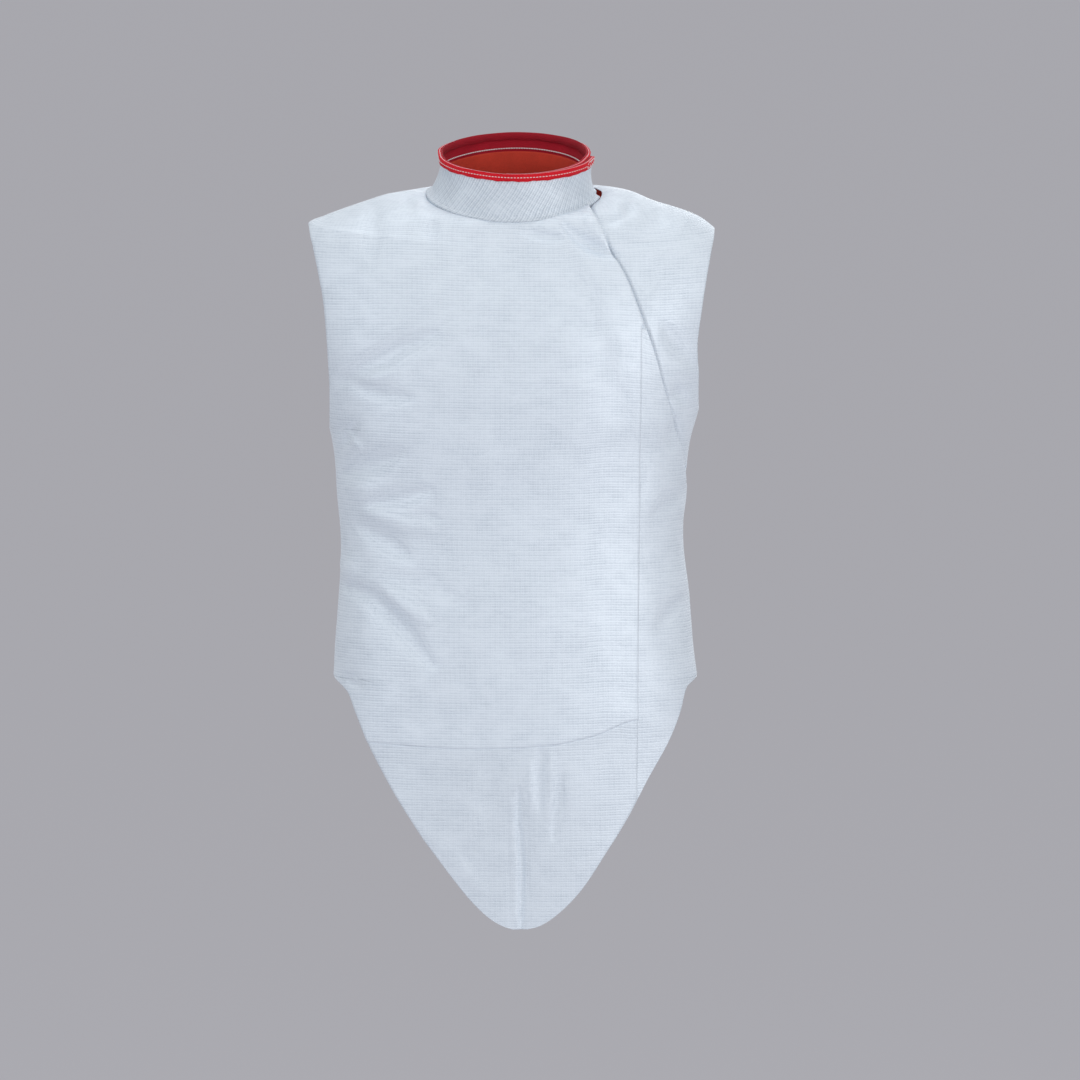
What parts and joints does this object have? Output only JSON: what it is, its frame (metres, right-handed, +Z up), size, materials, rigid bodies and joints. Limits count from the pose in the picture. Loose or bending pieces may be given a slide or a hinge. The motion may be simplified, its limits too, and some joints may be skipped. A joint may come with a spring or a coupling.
{
  "type": "fencing lame",
  "caption": "Sleeveless conductive fencing over-vest with a stand collar, an asymmetric front overlap and a long rounded tail, standing filled out and hollow.",
  "frame": {"origin": "the middle of the neck base, between the shoulders that carry the garment", "axes": "+Z up towards the head, -Y to the wearer's front, +X to the wearer's left, where the overlap closes"},
  "size_m": [0.4067, 0.2347, 0.7885],
  "materials": {
    "lame_cloth": "silver-blue metal-thread plain weave, soft satin sheen",
    "red_lining": "matt orange-red lining cloth",
    "dark_red_facing": "matt dark red facing tape",
    "red_binding": "red folded binding with a fine rib",
    "white_thread": "white sewing thread"
  },
  "bodies": {
    "root": {"front_panel": "lame_cloth", "side_front_panel": "lame_cloth", "tail_panel": "lame_cloth", "underlap_panel": "lame_cloth", "back_panel": "lame_cloth", "back_lining": "red_lining", "collar_stand": "lame_cloth", "collar_facing": "dark_red_facing", "collar_lining": "red_lining", "collar_binding": "red_binding"}
  },
  "joints": []
}
